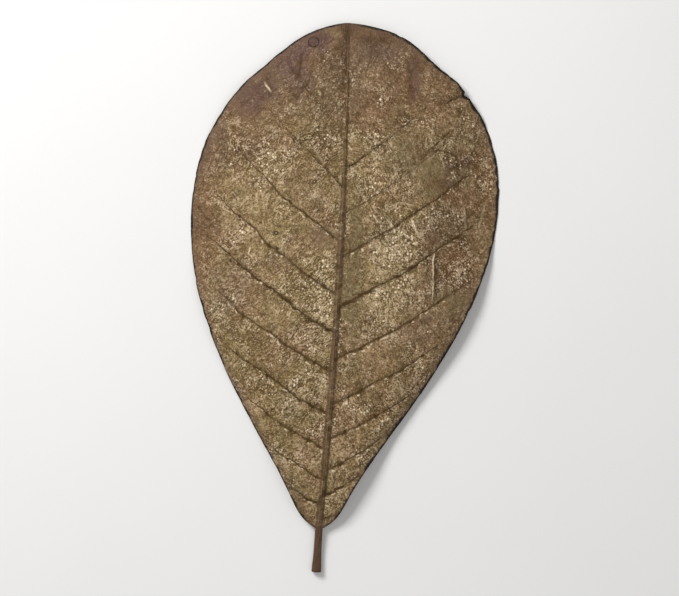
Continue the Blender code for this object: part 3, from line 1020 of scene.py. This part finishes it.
def build_grain_group():
    """The dry skin: mottling with painted sheen and shade, painted glints, dark dots, and the height
    under them.

    Rough goes from 0 to 1 with a wide noise and with Amount. The mottling is a sum of noises, of
    the two streak patterns and of wrinkles, which are the sine of a wide noise and so follow its
    contours. It is weaker where the skin is not rough, and where Amount is low. Light and Dark are
    its high and its low parts: partly the skin's own mottling, partly painted sheen and painted
    shade of the wrinkles and streaks. The glints are painted highlights, round spots at scattered
    points, larger where the point's random number plus Rough is high. The dots are where a fine
    noise is high. Past 1, Amount adds glints and takes dots away. The height holds the wider noises
    and the glints only.
    """
    takes = {"Place": None, "Amount": 1.0, "Streaks": 0.5, "Strokes": 0.5}
    gives = ("Light", "Dark", "Glints", "Dots", "Height")
    recipe, given, out = new_group("grain_and_sheen", takes, gives)
    place, amount = given["Place"], given["Amount"]
    apart = place + (0.11, 0.23, 0.07)
    crowd = amount * 0.30 - 0.30 + recipe.swing(place, 6.5 * MM, 1.0, roughness=0.55)
    rough = recipe.step(crowd + recipe.swing(apart, 19.0 * MM, 0.6, detail=1.0), -0.13, 0.17)
    still = recipe.step(amount, 0.15, 0.85, 0.50, 1.0)
    lively = recipe.step(amount, 1.0, 2.2, 0.0, 0.20)

    turns = recipe.noise(apart, 4.2 * MM, detail=1.5) * (2.0 * math.pi * WRINKLES)
    streaks = (given["Streaks"] - 0.5) * 1.5 + (given["Strokes"] - 0.5) * 3.0
    wide = recipe.swing(apart, 3.8 * MM, 1.8) + streaks + turns.sum("SINE") * 0.35
    fine = wide + recipe.swing(apart, 0.48 * MM, 3.9, detail=0.0)
    tone = fine * (rough * 0.70 + 0.55) * still
    tone = tone + recipe.swing(apart, 14.0 * MM, 0.8) + (rough - 0.5) * 0.18

    spots = recipe.wires(recipe.node("TexVoronoi", {"Vector": place, "Scale": 1.0 / GLINT_GAP}))
    chance = recipe.wire("SeparateColor", {"Color": spots["Color"]}, "Red")
    size = recipe.step(rough * 0.40 + chance + lively, 0.82, 1.42, 0.0, 0.60)
    glints = recipe.fall(spots["Distance"], size * 0.55, size) * recipe.step(size, 0.02, 0.30)
    pits = recipe.noise(apart, 0.75 * MM, detail=0.5) - lively * 0.30 + rough * 0.10
    height = wide * (rough * 0.45 + 0.30) * still + glints * 0.35
    ends = {
        "Light": recipe.step(tone, 0.0, 0.95),
        "Dark": recipe.step(tone, 0.02, -0.68),
        "Glints": glints,
        "Dots": recipe.step(pits, 0.66, 0.86),
        "Height": height,
    }
    recipe.fill(out, ends)


def build_net_group():
    """The finest veins: borders of small ragged cells, with the height of the cells between."""
    takes = {"Place": None, "Cells per metre": 1.0 / NET_CELL}
    recipe, given, out = new_group("fine_net", takes, ("Lines", "Height"))
    place = given["Place"]
    moved = place + recipe.stir(place, NET_STIR, (0.9 * MM, 0.9 * MM, 0.9 * MM), 1.0)
    feeds = {"Vector": moved, "Scale": given["Cells per metre"]}
    far = recipe.wire("TexVoronoi", feeds, "Distance", feature="DISTANCE_TO_EDGE")
    recipe.fill(out, {"Lines": recipe.fall(far, 0.02, 0.14), "Height": recipe.step(far, 0.0, 0.3)})


def in_metres(pair, z=0.0):
    """The place of a pair of millimetres."""
    return (pair[0] * MM, pair[1] * MM, z)


def new_material(name, palette=None):
    """A material, its recipe, its shader's sockets and the place on the object."""
    material = bpy.data.materials.new(name)
    material.use_nodes = True
    recipe = Recipe(material.node_tree, palette)
    sockets = material.node_tree.nodes["Principled BSDF"].inputs
    return material, recipe, sockets, recipe.wire("TexCoord", output="Object")


def vein_lines(recipe, place, swell, rung_width, breaks):
    """Masks of the side veins, of their forks and of the ladder veins between them."""
    widths = (recipe.field("vein_width") * swell, recipe.field("fork_width") * swell, rung_width)
    masks = []
    for name, width, depth in zip(("vein", "fork", "ladder"), widths, breaks):
        feeds = {"Place": place, "Width": width, "Breaks": depth}
        feeds.update(Count=recipe.field(name + "_count"), Gap=recipe.field(name + "_gap"))
        masks.append(recipe.group("vein_line", **feeds))
    return masks


def finish_skin(recipe, sockets, grain, dull, bright, height, depth):
    """Feeds the shader the colour so far, a roughness that falls on the grain's crests, and relief."""
    bump = {"Strength": 1.0, "Distance": depth, "Height": height}
    feeds = {
        "Base Color": recipe.colour,
        "Roughness": recipe.step(grain["Height"], -0.3, 0.5, dull, bright),
        "Specular IOR Level": LEAF_SPECULAR,
        "Normal": recipe.wire("Bump", bump, "Normal"),
    }
    recipe.fill(sockets, feeds)


def lay_ground(recipe, place, apart):
    """Lays olive with warmer and greener clouds, the named patches, among them painted golden sheen
    and painted shade beside the midrib, and rusty clouds.

    What it gives is how lively the grain is: 1 less the sum of the patches' calm.
    """
    warm = recipe.step(recipe.noise(place, 13.0 * MM), 0.38, 0.62)
    recipe.colour = recipe.mix(warm, "olive", "rose")
    recipe.lay(recipe.step(recipe.noise(apart, 8.0 * MM), 0.46, 0.68, 0.0, 0.70), "moss")
    calm = 0.0
    for patch in PATCHES:
        centre, reach = in_metres(patch.centre), in_metres(patch.reach, 1.0)
        feeds = {"Place": place, "Centre": centre, "Reach": reach, "Ragged": patch.ragged}
        mask = recipe.group("soft_patch", patch.name, **feeds)["Mask"]
        recipe.lay(mask * patch.cover, patch.colour)
        calm = mask * patch.calm + calm
    rusty = recipe.noise(place, 5.5 * MM, detail=1.5)
    recipe.lay(recipe.step(rusty, 0.50, 0.72, 0.0, 0.45), "russet")
    return calm.rest()


def ladder_streaks(recipe, place):
    """Two noises, wide and fine, that run with the ladder veins across the panels."""
    ladder, count = recipe.field("ladder_count"), recipe.field("vein_count")
    streaks = []
    for per_ladder, per_vein in ((4.5, 1.7), (11.0, 7.0)):
        turned = recipe.wire("CombineXYZ", {"X": ladder * per_ladder, "Y": count * per_vein})
        turned = turned + place * (90.0, 90.0, 0.0)
        streaks.append(recipe.noise(turned, 1.0, detail=1.5, roughness=0.55))
    return streaks


def lay_folds_and_spots(recipe, place):
    """Lays the creases as painted highlights or painted shade, with painted shade on their right sides
    where given, and the round stains.

    A ring is dark between its two radii, and a dot has an inner one below zero.
    """
    for fold in FOLDS:
        feeds = {"Centre": in_metres(fold.centre), "Turn": math.radians(-fold.turn)}
        feeds.update(Place=place, Reach=fold.reach * MM, Width=fold.width * MM)
        masks = recipe.group("fold_line", **feeds)
        if fold.shade:
            recipe.lay(masks["Shaded side"] * fold.shade, "umber")
        # A pale line is a painted highlight on the fold's crest, a dark line painted shade in the fold
        crest = "straw" if fold.pale else "vein"
        recipe.lay(masks["Line"] * (fold.pale or fold.dark), crest)
    for spot in SPOTS:
        flat = (place - in_metres(spot.centre)) * (1.0, 1.0, 0.0)
        far = flat.sum("LENGTH", output="Value") * (1.0 / MM)
        disc = recipe.fall(far, spot.outer - SPOT_SOFT, spot.outer + SPOT_SOFT)
        hole = recipe.step(far, spot.inner - SPOT_SOFT, spot.inner + SPOT_SOFT)
        recipe.lay(disc * hole * spot.dark, "rim")


def lay_midrib(recipe, place, apart):
    """Lays the midrib: a grey brown crest with dark blots between two thin lines of painted shade
    on its flanks.

    It wanders by noise, more so where it is slender, and there its crest is darker.
    """
    radius = recipe.field("rib_radius")
    sway = recipe.swing(place, 3.0 * MM, 1.1 * MM, detail=3.0, roughness=0.6)
    slack = recipe.fall(radius, 0.45 * MM, 0.62 * MM, 2.6 * MM)
    bends = recipe.swing(place, 8.0 * MM, slack, detail=1.0)
    wide = recipe.step(radius, 0.50 * MM, 0.78 * MM, 0.55 * MM, 1.25 * MM)
    rib = abs(recipe.field("off_rib") + sway + bends) / wide
    crest = recipe.fall(rib, 0.75, 1.3)
    flank_shade = recipe.step(rib, 0.2, 0.7) * recipe.fall(rib, 0.8, 1.2)
    patchy = recipe.step(recipe.noise(place, 2.2 * MM, detail=3.0), 0.35, 0.6, 0.50, 1.0)
    slender = recipe.step(radius, 0.72 * MM, 0.50 * MM, 0.0, 0.35)
    recipe.lay(crest * patchy, recipe.mix(slender, "midrib", "vein"))
    blots = recipe.step(recipe.noise(apart, 3.4 * MM), 0.52, 0.66, 0.0, 0.55)
    recipe.lay(crest * blots, "vein")
    # Painted shade along both flanks of the raised midrib
    recipe.lay(flank_shade * patchy * 0.45, "vein")


def build_upper_material(colours):
    """Olive brown skin with stains, veins and midrib, painted glints, sheen and shade, and a thin dark
    rim of painted shade.
    """
    material, recipe, sockets, place = new_material("dried_leaf_upper", colours)
    apart = place + (0.3, 0.1, 0.0)
    amount = lay_ground(recipe, place, apart)

    # Mottling with painted sheen and shade, painted glints and dark dots, and painted shade in the
    # hollows between the small pillows
    streaks, strokes = ladder_streaks(recipe, place)
    feeds = {"Place": place, "Amount": amount, "Streaks": streaks, "Strokes": strokes}
    grain = recipe.group("grain_and_sheen", **feeds)
    recipe.lay(grain["Light"] * 0.40, "straw")
    recipe.lay(grain["Dark"] * 0.58, "umber")
    recipe.lay(grain["Glints"], "straw")
    recipe.lay(grain["Dots"] * 0.55, "umber")
    recipe.lay(recipe.fall(recipe.field("pillow"), 0.0, 0.7, 0.25), "umber")
    lay_folds_and_spots(recipe, place)

    # Veins, from the faintest to the strongest, with dark knots and with painted highlights beside them
    vein, fork, rung = vein_lines(recipe, place, 1.0, 0.30 * MM, (0.12, 0.7, 0.95))
    strong = recipe.step(recipe.field("vein_width"), 0.05 * MM, 0.35 * MM)
    knots = recipe.step(vein["Halo"] * rung["Halo"] * strong, 0.15, 0.7, 0.0, 0.75)
    recipe.lay(rung["Line"] * 0.40, "vein")
    recipe.lay(fork["Line"] * 0.50, "vein")
    recipe.lay(vein["Halo"] * strong * 0.40, "vein")
    recipe.lay(vein["Line"] * 0.77, "vein")
    recipe.lay(knots, "vein")
    recipe.lay(vein["Blobs"] * strong * 0.65, "straw")
    lay_midrib(recipe, place, apart)

    # Stalk, with fine stripes along it
    stripes = recipe.noise(place * (1.0, 0.10, 1.0), 0.45 * MM)
    bark = recipe.mix(recipe.step(stripes, 0.38, 0.62, 0.0, 0.55), "stalk", "umber")
    grown = recipe.field("grown")
    on_stalk = grown.rest()
    recipe.lay(on_stalk, bark)

    # Edge: a browner band, then the thin dark rim, painted shade of the edge, wider to the right, away
    # from the key light
    edge = recipe.field("edge_distance")
    recipe.lay(recipe.fall(edge, 0.5 * MM, 4.0 * MM, 0.45), "dusk")
    rightward = recipe.wire("SeparateXYZ", {"Vector": place}, "X")
    ragged = recipe.step(recipe.noise(place, 3.0 * MM, detail=3.0), 0.3, 0.7, 0.6, 1.5)
    edge_shade_width = recipe.step(rightward, -20 * MM, 25 * MM, 0.68 * MM, 1.05 * MM) * ragged
    recipe.lay(recipe.fall(edge, edge_shade_width * 0.45, edge_shade_width, 0.95) * grown, "rim")

    net = recipe.group("fine_net", Place=place)
    height = grain["Height"] + net["Height"] * 0.12 - stripes * on_stalk * 2.0
    finish_skin(recipe, sockets, grain, 0.70, 0.52, height, 0.30 * MM)
    return material


def build_lower_material(colours):
    """The paler, duller lower face, with its raised veins darker than the skin between."""
    material, recipe, sockets, place = new_material("dried_leaf_lower", colours)
    cloud = recipe.noise(place, 28 * MM, detail=4.0, roughness=0.6)
    cloud = recipe.step(cloud, 0.45, 0.7, 0.0, 0.6)
    recipe.colour = recipe.mix(cloud, "underside", "russet")
    grain = recipe.group("grain_and_sheen", Place=place, Amount=0.45)
    net = recipe.group("fine_net", Place=place)
    vein, fork, rung = vein_lines(recipe, place, 1.5, 0.45 * MM, (0.0, 0.3, 0.4))
    rib = abs(recipe.field("off_rib")) / recipe.field("rib_radius")
    # Painted sheen and shade of the mottling, as on the upper face
    recipe.lay(grain["Light"] * 0.30, "straw")
    recipe.lay(grain["Dark"] * 0.35, "umber")
    recipe.lay(net["Lines"] * 0.30, "vein")
    recipe.lay(rung["Line"] * 0.45, "vein")
    recipe.lay(fork["Line"] * 0.60, "vein")
    recipe.lay(vein["Halo"] * 0.22, "vein")
    recipe.lay(vein["Line"] * 0.70, "stalk")
    recipe.lay(recipe.fall(rib, 0.7, 1.2, 0.9), "stalk")
    recipe.lay(recipe.field("grown").rest(), "stalk")
    recipe.lay(recipe.fall(recipe.field("edge_distance"), 0.1 * MM, 0.8 * MM, 0.8), "rim")
    raised = vein["Halo"] * 2.6 + rung["Halo"] * 0.7 + fork["Halo"] * 1.2
    height = grain["Height"] + raised - net["Height"] * 0.15
    finish_skin(recipe, sockets, grain, 0.82, 0.68, height, 0.25 * MM)
    return material


GROUP_BUILDERS = (
    build_vein_line_group,
    build_fold_line_group,
    build_patch_group,
    build_grain_group,
    build_net_group,
)


class ALMOND_OT_build_leaf(Operator):
    """Build the dried leaf as one closed skin in place of its solid"""

    bl_idname = "almond.build_leaf"
    bl_label = "Build the leaf"

    def execute(self, context):
        for build_group in GROUP_BUILDERS:
            build_group()
        mesh = build_leaf_mesh(context.scene.almond_sizes)
        mesh.materials.append(build_upper_material(context.scene.almond_colours))
        mesh.materials.append(build_lower_material(context.scene.almond_colours))
        leaf = bpy.data.objects.new("dried_leaf", mesh)
        context.scene.collection.objects.link(leaf)
        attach(leaf, "root")
        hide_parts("leaf")
        return {"FINISHED"}


def aimed_light(name, place, size, power):
    """A square area light at a place, turned to the origin."""
    lamp = bpy.data.lights.new(name, "AREA")
    lamp.size = size
    lamp.energy = power
    light = bpy.data.objects.new(name, lamp)
    light.location = place
    light.rotation_euler = (-Vector(place)).to_track_quat("-Z", "Y").to_euler()
    bpy.context.scene.collection.objects.link(light)


def build_floor_material(colour):
    """Pale matt table top with a faint unevenness."""
    material, recipe, sockets, place = new_material("pale_table")
    cloud = recipe.noise(place, 60 * MM, detail=3.0)
    shade = recipe.mix(recipe.step(cloud, 0.3, 0.7, 0.0, 0.03), colour, (0.5, 0.5, 0.5, 1.0))
    recipe.fill(sockets, {"Base Color": shade, "Roughness": 0.85})
    return material


class ALMOND_OT_lay_stage(Operator):
    """Lay the pale table and set the soft lights and the camera above it"""

    bl_idname = "almond.lay_stage"
    bl_label = "Set the stage"

    def execute(self, context):
        scene = context.scene
        studio = scene.almond_studio
        corners = np.array([(-1, -1, 0), (1, -1, 0), (1, 1, 0), (-1, 1, 0)])
        mesh = new_mesh("table", TABLE_REACH * corners, np.array([(0, 1, 2), (0, 2, 3)]))
        mesh.materials.append(build_floor_material(studio.floor_colour))
        table = bpy.data.objects.new("table", mesh)
        scene.collection.objects.link(table)

        aimed_light("key_light", KEY_PLACE, KEY_SIZE, studio.key_power)
        aimed_light("fill_light", FILL_PLACE, FILL_SIZE, studio.fill_power)
        world = bpy.data.worlds.new("studio")
        world.use_nodes = True
        background = world.node_tree.nodes["Background"]
        background.inputs["Color"].default_value = (1.0, 1.0, 1.0, 1.0)
        background.inputs["Strength"].default_value = studio.sky_strength
        scene.world = world
        scene.view_settings.view_transform = "Standard"

        camera_data = bpy.data.cameras.new("camera")
        camera_data.lens = studio.lens
        view_width = studio.view_height * PICTURE_WIDTH / PICTURE_HEIGHT
        height = view_width * studio.lens / camera_data.sensor_width
        camera = bpy.data.objects.new("camera", camera_data)
        lift = (LEAF_LOW.z + LEAF_HIGH.z) / 2.0
        lean = Matrix.Rotation(studio.lean, 4, "Z")
        camera.matrix_world = Matrix.Translation((0.0, 0.0, height + lift)) @ lean
        scene.collection.objects.link(camera)
        scene.camera = camera
        return {"FINISHED"}


class ALMOND_PT_leaf(Panel):
    """Buttons and values of the dried leaf"""

    bl_idname = "ALMOND_PT_leaf"
    bl_label = "Dried almond leaf"
    bl_space_type = "VIEW_3D"
    bl_region_type = "UI"
    bl_category = "Leaf"

    def draw(self, context):
        layout = self.layout
        groups = (
            (ALMOND_OT_build_leaf, ("almond_sizes", "almond_colours")),
            (ALMOND_OT_lay_stage, ("almond_studio",)),
        )
        for operator, group_names in groups:
            for group_name in group_names:
                group = getattr(context.scene, group_name)
                for name in group.__annotations__:
                    layout.prop(group, name)
            layout.operator(operator.bl_idname)


CLASSES = (
    LeafSizes,
    LeafColours,
    StudioSettings,
    ALMOND_OT_build_leaf,
    ALMOND_OT_lay_stage,
    ALMOND_PT_leaf,
)


def register():
    for cls in CLASSES:
        bpy.utils.register_class(cls)
    bpy.types.Scene.almond_sizes = PointerProperty(type=LeafSizes)
    bpy.types.Scene.almond_colours = PointerProperty(type=LeafColours)
    bpy.types.Scene.almond_studio = PointerProperty(type=StudioSettings)


def unregister():
    del bpy.types.Scene.almond_studio
    del bpy.types.Scene.almond_colours
    del bpy.types.Scene.almond_sizes
    for cls in reversed(CLASSES):
        bpy.utils.unregister_class(cls)


def main():
    """Builds the leaf and its stage."""
    register()
    bpy.ops.almond.build_leaf()
    bpy.ops.almond.lay_stage()


if __name__ == "__main__":
    main()
